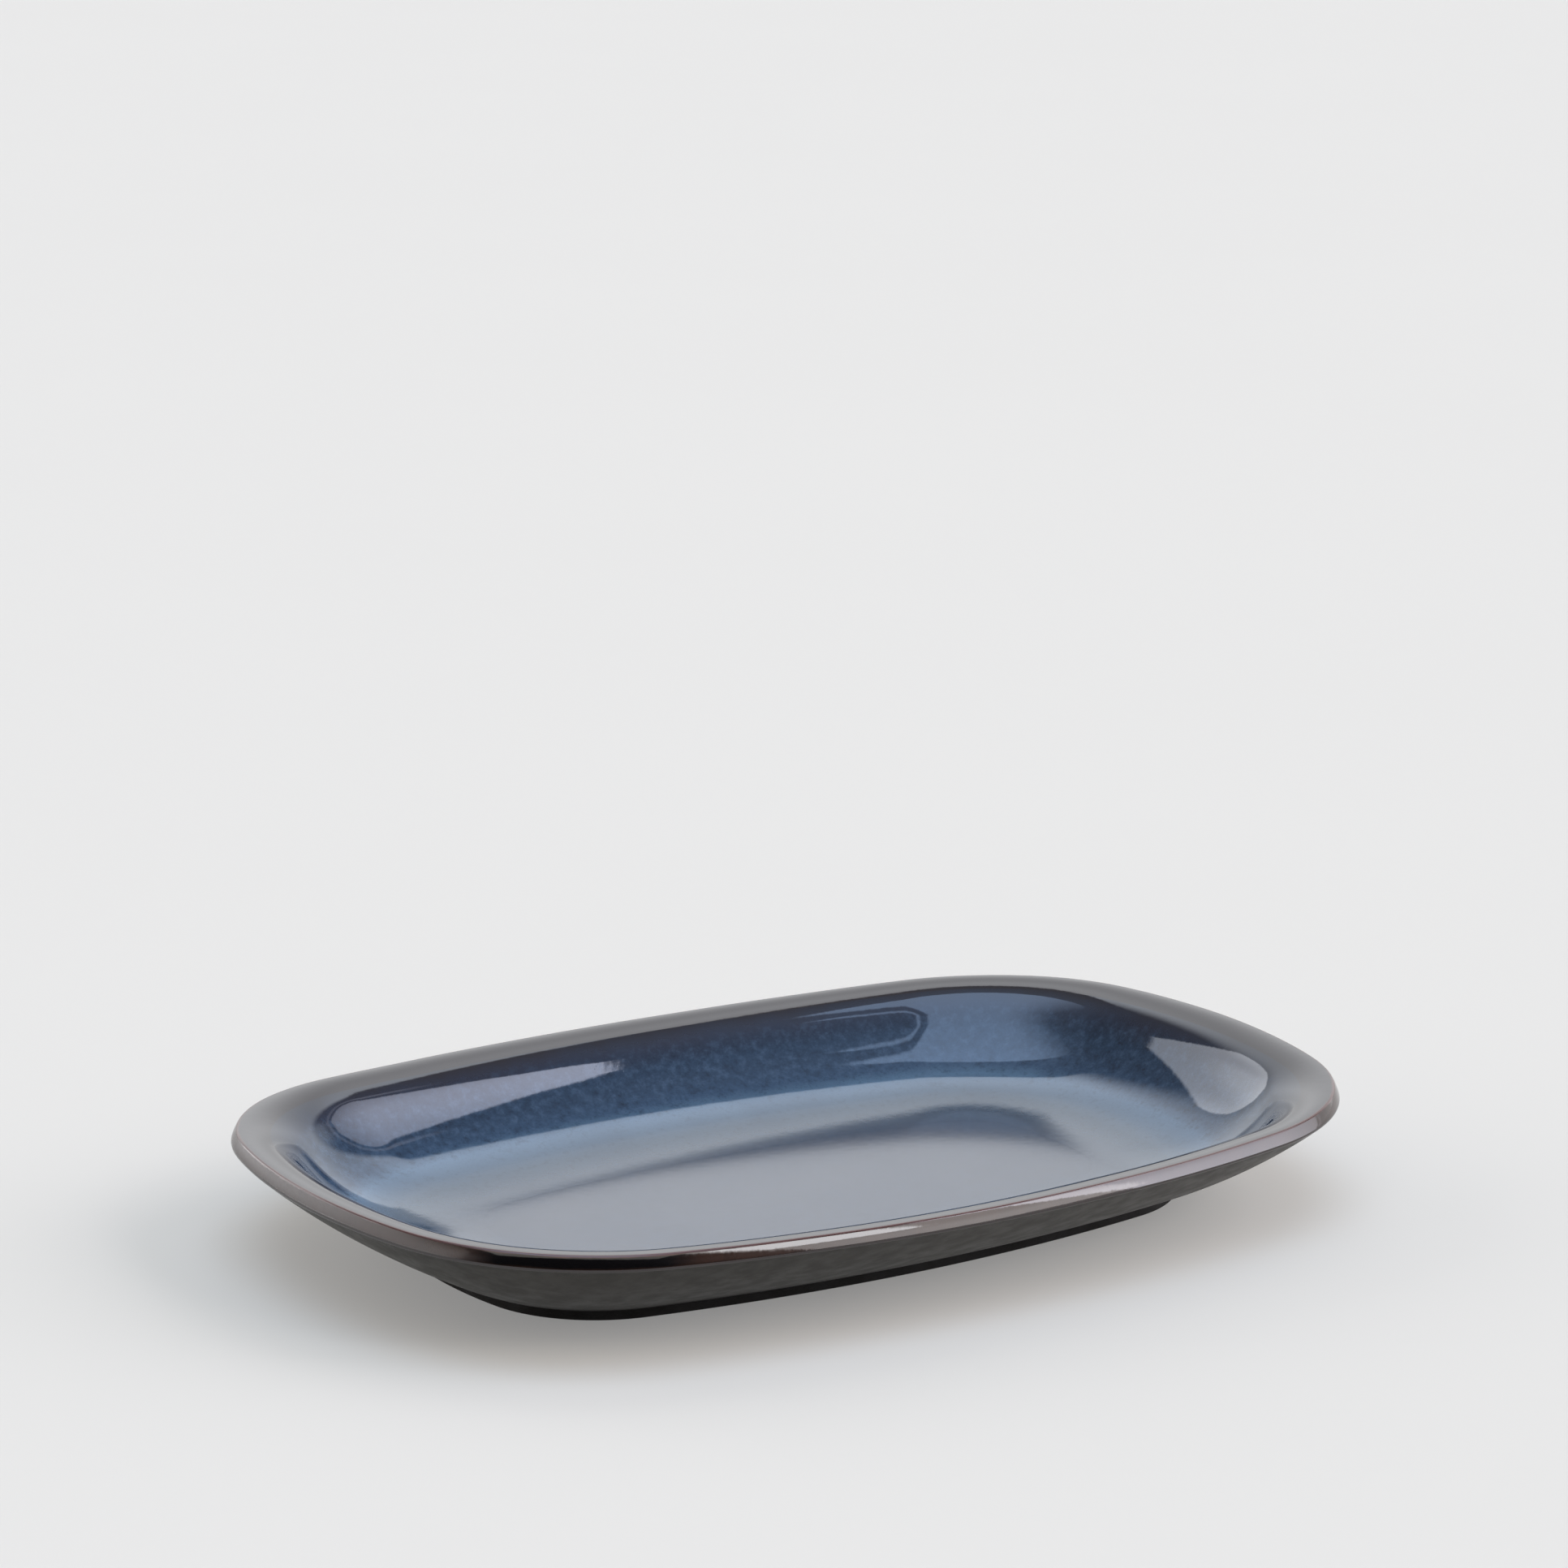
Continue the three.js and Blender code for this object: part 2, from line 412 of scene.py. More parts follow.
    def lip_arcs(self) -> tuple[tuple[float, float, float], ...]:
        """The arcs that make up the lip: its crown, its face and its lower edge.

        Returns:
            A radius and the turns where the arc starts and ends, for each.
        """
        first, last = self.face_turns
        under = math.pi - self.outer_slope
        return (self.crown, 0.0, first), (self.face, first, last), (self.lower, last, under)

    def lip(self, depth: float, fine: int) -> Profile:
        """The lip, from its crown down its face to where the outside leaves it.

        Args:
            depth: How far under the glazed surface the rows lie.
            fine: Number of even steps on each arc.

        Returns:
            The rows.
        """
        level = math.pi / 2
        arcs = self.lip_arcs()
        inset = sum(r * (math.sin(min(last, level)) - math.sin(first)) for r, first, last in arcs)
        height = self.side_height
        run = inset - self.lip_radius
        points = []
        for radius, first, last in arcs:
            for share in tight(fine)[1 if first else 0:]:
                turn = first + share * (last - first)
                x = inset - radius * (math.sin(turn) - math.sin(first))
                z = height - radius * (math.cos(first) - math.cos(turn))
                way = run - radius * (turn - first)
                low = z - depth * math.cos(turn)
                points.append((x + depth * math.sin(turn), low, self.outside_lift(z), way))
            inset, height, run = x, z, way
        return self.rows(points)

    def outside(self, depth: float, fine: int) -> Profile:
        """The gently swelling outside, from under the lip down to the foot.

        Args:
            depth: How far under the glazed surface the rows lie.
            fine: Number of even steps.

        Returns:
            The rows.
        """
        lip = self.lip(0.0, 2)
        start = np.array([lip.inset[-1], lip.height[-1]])
        foot = np.array([self.foot_inset, self.foot_height])
        leaving = np.array([math.cos(self.outer_slope), -math.sin(self.outer_slope)])
        swell = start + leaving * np.linalg.norm(foot - start) / 2
        points = []
        run = lip.run[-1]
        before = start
        for share in tight(fine):
            here = (1 - share) ** 2 * start + 2 * share * (1 - share) * swell + share**2 * foot
            along = 2 * (1 - share) * (swell - start) + 2 * share * (foot - swell)
            along /= np.linalg.norm(along)
            run -= float(np.linalg.norm(here - before))
            before = here
            inner = here + depth * np.array([-along[1], along[0]])
            if share == 1.0 and depth:
                inner = here + np.array([depth / abs(along[1]), 0.0])
            points.append((inner[0], inner[1], self.outside_lift(here[1]), run))
        return self.rows(points)


@dataclass(frozen=True)
class OvalSweep:
    """Sweeps a section round the oval with a Geometry Nodes tree that holds the plan's rule."""

    plan: Oval
    wobble: float = 0.00022
    wobble_scale: float = 17.0
    wobble_seed: float = 3.0
    pitch: float = 0.001
    weld: float = 1e-6
    sliver: float = 1e-7
    crease: float = math.radians(38.0)

    SIZES = (
        ("Half Length", lambda plan: plan.length / 2),
        ("Half Width", lambda plan: plan.width / 2),
        ("Side Bow Radius", lambda plan: plan.side_bow),
        ("End Bow Radius", lambda plan: plan.end_bow),
        ("Rim Corner Radius", lambda plan: plan.rim_corner),
        ("Foot Corner Radius", lambda plan: plan.foot_corner),
        ("Foot Inset", lambda plan: plan.foot_inset),
        ("End Rise", lambda plan: plan.end_rise),
    )

    def point(self, size: dict[str, Term], inset: Value, arc: Term, share: Term) -> tuple[Term, Term]:
        """The oval's rule: where a step lies on the ring with a given inset, in the first quarter.

        Args:
            size: The plan's sizes by name.
            inset: How far the ring stands in from the rim.
            arc: Which arc of the quarter the step is on.
            share: How much of that arc is passed.

        Returns:
            X and Y.
        """
        zero = size["End Rise"] * 0.0
        inset = zero + inset
        end_radius = size["End Bow Radius"] - inset
        side_radius = size["Side Bow Radius"] - inset
        narrowing = size["Foot Corner Radius"] - size["Rim Corner Radius"]
        corner_radius = size["Rim Corner Radius"] + narrowing * inset / size["Foot Inset"]
        end_x = size["Half Length"] - size["End Bow Radius"]
        side_y = size["Half Width"] - size["Side Bow Radius"]

        to_end = end_radius - corner_radius
        to_side = side_radius - corner_radius
        between = (end_x.squared() + side_y.squared()).root()
        along = (to_side.squared() - to_end.squared() + between.squared()) / (between * 2.0)
        across = (to_side.squared() - along.squared()).root()
        axis_x = end_x / between
        axis_y = side_y * -1.0 / between
        corner_x = axis_x * along + axis_y * across
        corner_y = side_y + axis_y * along - axis_x * across

        end_turn = corner_y.join("ARCTAN2", corner_x - end_x)
        side_turn = (corner_y - side_y).join("ARCTAN2", corner_x)
        on_end, on_corner, on_side = (arc.is_arc(one) for one in Arc)
        start = on_corner * end_turn + on_side * side_turn
        stop = on_end * end_turn + on_corner * side_turn + on_side * (math.pi / 2)
        turn = start + (stop - start) * share
        radius = on_end * end_radius + on_corner * corner_radius + on_side * side_radius
        x = on_end * end_x + on_corner * corner_x + radius * turn.cosine()
        y = on_corner * corner_y + on_side * side_y + radius * turn.sine()
        return x, y

    def tree(self) -> bpy.types.NodeTree:
        """Builds the tree that places a strip's vertices round the oval.

        Returns:
            The tree, with the plan's sizes and the finish as its inputs.
        """
        tree = bpy.data.node_groups.new("sweep_round_oval", "GeometryNodeTree")
        sockets = tree.interface
        sockets.new_socket("Strip", in_out="INPUT", socket_type="NodeSocketGeometry")
        for name, _ in self.SIZES:
            sockets.new_socket(name, in_out="INPUT", socket_type="NodeSocketFloat")
        for name in ("Wobble", "Wobble Scale", "Seed"):
            sockets.new_socket(name, in_out="INPUT", socket_type="NodeSocketFloat")
        sockets.new_socket("Finish", in_out="INPUT", socket_type="NodeSocketMaterial")
        sockets.new_socket("Piece", in_out="OUTPUT", socket_type="NodeSocketGeometry")
        source = tree.nodes.new("NodeGroupInput")
        size = {name: Term(tree, source.outputs[name]) for name, _ in self.SIZES}

        def read(name: str) -> Term:
            """A named number of the strip.

            Args:
                name: The attribute's name.

            Returns:
                Its value.
            """
            node = tree.nodes.new("GeometryNodeInputNamedAttribute")
            node.data_type = "FLOAT"
            node.inputs["Name"].default_value = name
            return Term(tree, node.outputs["Attribute"])

        def vector(x: Value, y: Value, z: Value) -> bpy.types.NodeSocket:
            """A vector of three terms.

            Args:
                x: Its first part.
                y: Its second part.
                z: Its third part.

            Returns:
                The vector's socket.
            """
            node = tree.nodes.new("ShaderNodeCombineXYZ")
            for socket, value in zip(node.inputs, (x, y, z)):
                feed(tree, socket, value)
            return node.outputs[0]

        arc, share = read("arc"), read("share")
        sign_x, sign_y = read("sign_x"), read("sign_y")
        lift, shrink = read("lift"), read("shrink")
        x, y = self.point(size, read("inset"), arc, share)
        rim_x, rim_y = self.point(size, 0.0, arc, share)
        brink = vector(rim_x * sign_x, rim_y * sign_y, 0.0)

        # Hand-made unevenness of the rim, none at the floor and foot
        waves = []
        for shift in (0.0, 40.0):
            noise = tree.nodes.new("ShaderNodeTexNoise")
            noise.noise_dimensions = "4D"
            feed(tree, noise.inputs["Vector"], brink)
            feed(tree, noise.inputs["Scale"], source.outputs["Wobble Scale"])
            feed(tree, noise.inputs["W"], Term(tree, source.outputs["Seed"]) + shift)
            noise.inputs["Detail"].default_value = 1.0
            swing = (Term(tree, noise.outputs[0]) - 0.5) * 2.0
            waves.append(swing * Term(tree, source.outputs["Wobble"]) * lift)
        reach = rim_x / size["Half Length"]
        z = read("height") + lift * size["End Rise"] * reach.squared() + waves[0]
        pull = (x.squared() + y.squared()).root()
        pull = (pull - waves[1].size()) / pull * shrink

        place = tree.nodes.new("GeometryNodeSetPosition")
        feed(tree, place.inputs["Geometry"], source.outputs["Strip"])
        feed(tree, place.inputs["Position"], vector(x * sign_x * pull, y * sign_y * pull, z))
        keep = tree.nodes.new("GeometryNodeStoreNamedAttribute")
        keep.data_type = "FLOAT_VECTOR"
        keep.domain = "POINT"
        keep.inputs["Name"].default_value = "brink"
        feed(tree, keep.inputs["Geometry"], place.outputs["Geometry"])
        feed(tree, keep.inputs["Value"], brink)
        merge = tree.nodes.new("GeometryNodeMergeByDistance")
        merge.inputs["Distance"].default_value = self.weld
        feed(tree, merge.inputs["Geometry"], keep.outputs["Geometry"])
        real = tree.nodes.new("GeometryNodeRealizeInstances")
        feed(tree, real.inputs["Geometry"], merge.outputs["Geometry"])
        paint = tree.nodes.new("GeometryNodeSetMaterial")
        feed(tree, paint.inputs["Geometry"], real.outputs["Geometry"])
        feed(tree, paint.inputs["Material"], source.outputs["Finish"])
        result = tree.nodes.new("NodeGroupOutput")
        feed(tree, result.inputs["Piece"], paint.outputs["Geometry"])
        return tree

    def strip(self, name: str, profile: Profile) -> bpy.types.Object:
        """An unrolled strip: one row of vertices for each row of the profile, one column for each step.

        Args:
            name: The piece's name.
            profile: The section.

        Returns:
            The strip as an object, with the numbers that the tree reads.
        """
        lap = self.plan.lap()
        rows, columns = len(profile), len(lap)
        grid = [(row, column) for row in range(rows) for column in range(columns)]
        corner = [(column * self.pitch, row * self.pitch, 0.0) for row, column in grid]
        faces = []
        for row in range(rows if profile.closed else rows - 1):
            near, far = row * columns, (row + 1) % rows * columns
            for column in range(columns):
                following = (column + 1) % columns
                faces.append((near + column, near + following, far + following, far + column))
        mesh = bpy.data.meshes.new(name)
        mesh.from_pydata(corner, [], faces)
        by_row = {key: getattr(profile, key) for key in ROWS}
        steps = [(float(arc.value), share, x, y) for arc, share, x, y in lap]
        by_column = dict(zip(COLUMNS, zip(*steps)))
        for key, values in by_row.items():
            data = mesh.attributes.new(key, "FLOAT", "POINT").data
            data.foreach_set("value", np.repeat(np.array(values, np.float32), columns))
        for key, values in by_column.items():
            data = mesh.attributes.new(key, "FLOAT", "POINT").data
            data.foreach_set("value", np.tile(np.array(values, np.float32), rows))
        strip = bpy.data.objects.new(name + "_strip", mesh)
        bpy.context.scene.collection.objects.link(strip)
        return strip

    def make(self, name: str, profile: Profile, finish: bpy.types.Material) -> bpy.types.Object:
        """Sweeps a profile into a plain mesh piece.

        Args:
            name: The piece's name.
            profile: The section, closed or from middle to middle.
            finish: The piece's material.

        Returns:
            The piece, at the origin.
        """
        strip = self.strip(name, profile)
        modifier = strip.modifiers.new("sweep", "NODES")
        modifier.node_group = bpy.data.node_groups.get("sweep_round_oval") or self.tree()
        given = {key: rule(self.plan) for key, rule in self.SIZES}
        given.update({"Wobble": self.wobble, "Wobble Scale": self.wobble_scale})
        given.update({"Seed": self.wobble_seed, "Finish": finish})
        for item in modifier.node_group.interface.items_tree:
            if item.in_out == "INPUT" and item.name in given:
                modifier[item.identifier] = given[item.name]
        strip.update_tag()
        graph = bpy.context.evaluated_depsgraph_get()
        mesh = bpy.data.meshes.new_from_object(strip.evaluated_get(graph))
        mesh.name = name
        flat = strip.data
        bpy.data.objects.remove(strip)
        bpy.data.meshes.remove(flat)
        # The run stays on the mesh for the materials
        for key in (*ROWS[:-1], *COLUMNS):
            mesh.attributes.remove(mesh.attributes[key])
        shape = bmesh.new()
        shape.from_mesh(mesh)
        bmesh.ops.dissolve_degenerate(shape, dist=self.sliver, edges=shape.edges[:])
        bmesh.ops.recalc_face_normals(shape, faces=shape.faces[:])
        shape.to_mesh(mesh)
        shape.free()
        mesh.polygons.foreach_set("use_smooth", [True] * len(mesh.polygons))
        mesh.set_sharp_from_angle(angle=self.crease)
        if not mesh.materials:
            mesh.materials.append(finish)
        piece = bpy.data.objects.new(name, mesh)
        bpy.context.scene.collection.objects.link(piece)
        return piece


class Paint:
    """A material's node tree, with short ways to add the nodes that the finishes share."""

    def __init__(self, name: str) -> None:
        """Starts a material with a Principled shader.

        Args:
            name: The material's name.
        """
        self.material = bpy.data.materials.new(name)
        self.material.use_nodes = True
        self.tree = self.material.node_tree
        self.shader = self.tree.nodes["Principled BSDF"]

    def add(self, kind: str, **values: Any) -> bpy.types.Node:
        """Adds a node.

        Args:
            kind: Blender's name of the node type.
            values: Inputs by name with spaces as underscores, or properties of the node.

        Returns:
            The node.
        """
        node = self.tree.nodes.new(kind)
        for key, value in values.items():
            if hasattr(node, key):
                setattr(node, key, value)
            else:
                feed(self.tree, node.inputs[key.replace("_", " ")], value)
        return node

    def place(self) -> bpy.types.NodeSocket:
        """Object coordinates, in metres."""
        return self.add("ShaderNodeTexCoord").outputs["Object"]

    def run(self) -> Term:
        """The way down from the lip along the surface, in metres."""
        node = self.add("ShaderNodeAttribute", attribute_name="run")
        return Term(self.tree, node.outputs["Fac"])

    def brink(self) -> bpy.types.NodeSocket:
        """The place of the rim above a point."""
        return self.add("ShaderNodeAttribute", attribute_name="brink").outputs["Vector"]

    def noise(self, where: Any, scale: float, detail: float = 2.0, rough: float = 0.5) -> Term:
        """Cloudy noise from about 0 to 1.

        Args:
            where: The coordinates.
            scale: Features to the metre.
            detail: Octaves of finer noise.
            rough: How strong the finer noise is.

        Returns:
            The noise.
        """
        node = self.add("ShaderNodeTexNoise", Vector=where, Scale=scale, Detail=detail, Roughness=rough)
        return Term(self.tree, node.outputs[0])

    def cells(self, where: Any, scale: float) -> Term:
        """Distance from scattered points, in cells."""
        node = self.add("ShaderNodeTexVoronoi", Vector=where, Scale=scale)
        return Term(self.tree, node.outputs["Distance"])

    def mix(self, share: Value, first: Any, second: Any) -> bpy.types.NodeSocket:
        """Mixes two colours.

        Args:
            share: How much of the second colour.
            first: A colour or a colour socket.
            second: The same.

        Returns:
            The mixed colour.
        """
        node = self.tree.nodes.new("ShaderNodeMix")
        node.data_type = "RGBA"
        feed(self.tree, node.inputs[0], share)
        for socket, colour in ((node.inputs[6], first), (node.inputs[7], second)):
            feed(self.tree, socket, (*colour, 1.0) if isinstance(colour, tuple) else colour)
        return node.outputs[2]

    def ramp(self, share: Term, stops: Sequence[tuple[float, Colour]]) -> bpy.types.NodeSocket:
        """A colour for each value, eased between stops.

        Args:
            share: The value.
            stops: Places from 0 to 1 and their colours.

        Returns:
            The colour.
        """
        node = self.add("ShaderNodeValToRGB", Fac=share)
        elements = node.color_ramp.elements
        while len(elements) < len(stops):
            elements.new(0.5)
        for element, (place, colour) in zip(elements, stops):
            element.position = place
            element.color = (*colour, 1.0)
        return node.outputs["Color"]

    def bump(self, height: Term, strength: float, distance: float) -> None:
        """Gives the surface fine relief.

        Args:
            height: The relief.
            strength: How much of it shows.
            distance: Its depth in metres.
        """
        node = self.add("ShaderNodeBump", Strength=strength, Distance=distance, Height=height)
        self.tree.links.new(node.outputs["Normal"], self.shader.inputs["Normal"])

    def set(self, **values: Any) -> None:
        """Sets or links the shader's inputs, by name with spaces as underscores."""
        for key, value in values.items():
            feed(self.tree, self.shader.inputs[key.replace("_", " ")], value)


@dataclass(frozen=True)
class WellGlaze:
    """Glossy reactive blue: brown where it thins at the rim, navy down the wall, milky where it pools."""

    reach: float = 0.100
    crease: float = 0.0400
    lean: float = 0.0065
    left_end: tuple[float, float] = (-0.173, -0.150)
    rivulets: float = 0.0032
    ragged_edge: float = 0.0016
    brown: Colour = (0.022, 0.019, 0.023)
    plum: Colour = (0.022, 0.025, 0.042)
    navy: Colour = (0.021, 0.041, 0.076)
    deep: Colour = (0.031, 0.062, 0.113)
    pool: Colour = (0.080, 0.145, 0.225)
    shallow: Colour = (0.056, 0.088, 0.125)
    floor: Colour = (0.066, 0.076, 0.100)
    fleck: Colour = (0.060, 0.100, 0.165)
    gap: Colour = (0.008, 0.013, 0.026)

    def make(self) -> bpy.types.Material:
        """Builds the material.

        Returns:
            The glaze.
        """
        paint = Paint("well_glaze_reactive")
        here, brink, run = paint.place(), paint.brink(), paint.run()
        rivulet = paint.noise(brink, 95.0, 2.0)
        ragged = paint.noise(here, 620.0, 2.0)
        cloud = paint.noise(here, 38.0, 3.0)
        way = run + (rivulet - 0.5) * self.rivulets + (ragged - 0.5) * self.ragged_edge
        split = paint.add("ShaderNodeSeparateXYZ", Vector=brink)
        along = Term(paint.tree, split.outputs["X"])
        way = way + along.step(*self.left_end, self.lean, 0.0) * run.step(0.014, 0.030)
        edge = self.crease / self.reach
        colour = paint.ramp(way / self.reach, (
            (0.10, self.brown), (0.16, self.plum), (0.24, self.navy), (edge - 0.10, self.navy),
            (edge - 0.02, self.deep), (edge + 0.03, self.pool), (0.58, self.shallow), (0.86, self.floor),
        ))
        grain = paint.noise(here, 1150.0, 3.0, 0.65)
        wall = run.step(0.012, 0.022) * run.step(self.crease - 0.002, self.crease + 0.006, 1.0, 0.35)
        mottle = paint.noise(here, 330.0, 3.0, 0.6)
        colour = paint.mix(mottle.step(0.46, 0.72) * wall * 0.50, colour, self.fleck)
        colour = paint.mix(mottle.step(0.50, 0.26) * wall * 0.55, colour, self.gap)
        colour = paint.mix(grain.step(0.52, 0.76) * wall * 0.30, colour, self.fleck)
        colour = paint.mix(grain.step(0.50, 0.28) * wall * 0.40, colour, self.gap)
        colour = paint.mix(cloud.step(0.38, 0.70) * 0.18, colour, self.navy)
        sheen = ragged.step(0.3, 0.8, 0.03, 0.05) + run.step(0.055, 0.080, 0.0, 0.085)
        paint.set(Base_Color=colour, Roughness=sheen, IOR=1.75)
        paint.set(Specular_Tint=(0.80, 0.88, 1.0, 1.0))
        peel = paint.noise(here, 260.0, 1.0)
        pits = paint.cells(here, 420.0).step(0.0, 0.10)
        paint.bump(peel * 0.6 + pits * 0.5 + ragged * 0.2, 0.06, 0.00025)
        return paint.material


@dataclass(frozen=True)
class RimGlaze:
    """The same glaze where it breaks thin over the lip: rust on the crown, black on the face of the lip
    under a tan tint, with a painted dark reflection left untinted black along part of the near side.
    """

    reach: float = 0.018
    below: float = 0.008
    face: tuple[float, float, float, float] = (0.0030, 0.0036, 0.0064, 0.0068)
    left_end: tuple[float, float] = (-0.176, -0.150)
    dullness: float = 0.36
    olive: Colour = (0.014, 0.014, 0.011)
    seam: Colour = (0.022, 0.012, 0.009)
    black: Colour = (0.005, 0.0045, 0.005)
    rust: Colour = (0.095, 0.044, 0.040)
    tan: Colour = (0.036, 0.018, 0.013)
    mauve: Colour = (0.026, 0.023, 0.027)
    brown: Colour = (0.024, 0.020, 0.023)
    # X easings that bound the stretch of the near lip's face kept black as a painted dark reflection
    painted_dark_reflection_span: tuple[tuple[float, float], tuple[float, float]] = ((-0.161, -0.153), (-0.112, -0.098))

    def make(self) -> bpy.types.Material:
        """Builds the material.

        Returns:
            The glaze.
        """
        paint = Paint("rim_glaze_breaking")
        here, brink, run = paint.place(), paint.brink(), paint.run()
        streak = paint.noise(brink, 120.0, 2.0)
        grain = paint.noise(here, 900.0, 2.0)
        way = run + (streak - 0.5) * 0.0008 + self.below
        colour = paint.ramp(way / self.reach, (
            (0.10, self.olive), (0.13, self.seam), (0.17, self.seam), (0.20, self.black),
            (0.345, self.black), (0.365, self.rust), (0.405, self.rust), (0.43, self.mauve),
            (0.92, self.brown),
        ))
        split = paint.add("ShaderNodeSeparateXYZ", Vector=brink)
        along, across = (Term(paint.tree, split.outputs[axis]) for axis in ("X", "Y"))
        # Painted dark reflection: along this stretch of the near lip the face keeps its black and gets no
        # tan, standing in for the dark front that the lip mirrors
        painted_dark_stretch = along.step(*self.painted_dark_reflection_span[0]) * along.step(*self.painted_dark_reflection_span[1], 1.0, 0.0)
        painted_dark_stretch = painted_dark_stretch * across.step(-0.02, -0.05)
        on_face = way.step(*self.face[2:], 1.0, 0.0) * way.step(*self.face[:2])
        # The rest of the face, which takes the tan tint and the dull ends; the painted dark stretch is left
        # out
        thin = on_face * (painted_dark_stretch * -1.0 + 1.0)
        colour = paint.mix(thin * streak.step(0.2, 0.6, 0.6, 1.0), colour, self.tan)
        dull = along.step(*self.left_end, self.dullness, 0.0) * thin
        paint.set(Base_Color=colour, Roughness=grain.step(0.3, 0.8, 0.04, 0.08) + dull, IOR=1.66)
        paint.set(Specular_Tint=(0.94, 0.96, 1.0, 1.0))
        peel = paint.noise(here, 260.0, 1.0)
        paint.bump(peel * 0.7 + grain * 0.2, 0.08, 0.00025)
        return paint.material


@dataclass(frozen=True)
class OuterGlaze:
    """Dark olive glaze of the outside and the base, with faint runs and specks."""

    name: str = "outer_glaze_olive"
    dark: Colour = (0.011, 0.0105, 0.0080)
    light: Colour = (0.021, 0.020, 0.0165)
    speck: Colour = (0.006, 0.005, 0.004)
    gloss: tuple[float, float] = (0.34, 0.46)
    runny: float = 0.5

    def make(self) -> bpy.types.Material:
        """Builds the material.

        Returns:
            The glaze.
        """
        paint = Paint(self.name)
        here, brink = paint.place(), paint.brink()
        runs = paint.noise(brink, 70.0, 3.0)
        cloud = paint.noise(here, 130.0, 4.0, 0.6)
        patches = (runs * self.runny + cloud * (1.0 - self.runny)).step(0.35, 0.68)
        colour = paint.mix(patches, self.dark, self.light)
        colour = paint.mix(paint.cells(here, 210.0).step(0.11, 0.04) * 0.7, colour, self.speck)
        paint.set(Base_Color=colour, Roughness=cloud.step(0.3, 0.7, *self.gloss), IOR=1.29)
        peel = paint.noise(here, 240.0, 2.0)
        paint.bump(peel, 0.10, 0.00025)
        return paint.material


@dataclass(frozen=True)
class Stoneware:
    """Unglazed fired clay with grog and a dry, gritty surface."""

    name: str
    clay: Colour
    grog: Colour
    dust: Colour

    def make(self) -> bpy.types.Material:
        """Builds the material.

        Returns:
            The clay.
        """
        paint = Paint(self.name)
        here = paint.place()
        cloud = paint.noise(here, 90.0, 4.0, 0.6)
        grit = paint.noise(here, 2600.0, 2.0)
        colour = paint.mix(cloud.step(0.3, 0.7), self.clay, self.dust)
        colour = paint.mix(paint.cells(here, 700.0).step(0.22, 0.10), colour, self.grog)
        paint.set(Base_Color=colour, Roughness=cloud.step(0.2, 0.8, 0.72, 0.92), IOR=1.45)
        paint.bump(grit * 0.6 + cloud * 0.8, 0.35, 0.0002)
        return paint.material


@dataclass(frozen=True)
class PaleTable:
    """Matt pale table top."""

    tone: Colour = (0.499, 0.482, 0.447)
    shade: Colour = (0.491, 0.474, 0.439)
    glow: Colour = (1.0, 1.0, 1.0)
    backlight: float = 0.22

    def make(self) -> bpy.types.Material:
        """Builds the material.

        Returns:
            The table's material.
        """
        paint = Paint("pale_table")
        cloud = paint.noise(paint.place(), 3.0, 2.0)
        paint.set(Base_Color=paint.mix(cloud, self.tone, self.shade), Roughness=1.0, Specular_IOR_Level=0.0)
        path = paint.add("ShaderNodeLightPath")
        seen = Term(paint.tree, path.outputs["Is Camera Ray"])
        seen = seen + Term(paint.tree, path.outputs["Is Glossy Ray"])
        paint.set(Emission_Color=(*self.glow, 1.0), Emission_Strength=seen * self.backlight)
        return paint.material


@dataclass
class FiredBody:
    """The clay of the platter and the bare ring that it stands on."""

    wall: WallSection
    sweep: OvalSweep
    foot_width: float = 0.006
    foot_ease: float = 0.0009
    foot_shoulder: float = 0.0004
    ease_steps: int = 8
    under_run: float = 0.1
    pieces: list[tuple[Coat, bpy.types.Object]] = field(default_factory=list)

    def body_profile(self) -> Profile:
        """Clay surface from the middle of the floor over the lip to the middle of the underside.

        Returns:
            The section.
        """
        depth = self.wall.glaze
        profile = self.wall.well(depth, 12)
        profile.extend(self.wall.roll_top(depth, 4)).extend(self.wall.lip(depth, 5))
        profile.extend(self.wall.outside(depth, 12))
        inset, height = profile.inset[-1], profile.height[-1]
        shares = [0.75, 0.5, 0.25, 0.0]
        count = len(shares)
        runs = [self.under_run] * count
        return profile.extend(Profile([inset] * count, [height] * count, [0.0] * count, shares, runs))

    def foot_profile(self) -> Profile:
        """The foot ring once round: straight sides, eased lower edges and a flat tread.

        Returns:
            The section.
        """
        top, ease = self.wall.foot_height, self.foot_ease
        outer, inner = self.wall.foot_inset, self.wall.foot_inset + self.foot_width
        points = [(outer, top), (outer, top - self.foot_shoulder)]
        for middle, start in ((outer + ease, math.pi), (inner - ease, 1.5 * math.pi)):
            for step in range(self.ease_steps + 1):
                turn = start + step / self.ease_steps * math.pi / 2
                points.append((middle + ease * math.cos(turn), ease + ease * math.sin(turn)))
        points += [(inner, top - self.foot_shoulder), (inner, top)]
        profile = self.wall.rows([(inset, height, 0.0, self.under_run) for inset, height in points])
        profile.closed = True
        return profile

    def build(self) -> None:
        """Makes the clay and the foot ring."""
        clay = Stoneware("fired_clay", (0.30, 0.23, 0.17), (0.12, 0.09, 0.07), (0.36, 0.29, 0.22)).make()
        dark = ((0.005, 0.004, 0.004), (0.012, 0.010, 0.008), (0.007, 0.006, 0.005))
        bare = Stoneware("bare_foot_clay", *dark).make()
        self.pieces = [
            (Coat.BODY, self.sweep.make("clay_core", self.body_profile(), clay)),
            (Coat.FOOT, self.sweep.make("foot_tread", self.foot_profile(), bare)),
        ]

    def dress(self) -> None:
        """Puts the pieces in the CAD frame."""
        for coat, piece in self.pieces:
            mount(coat, piece)


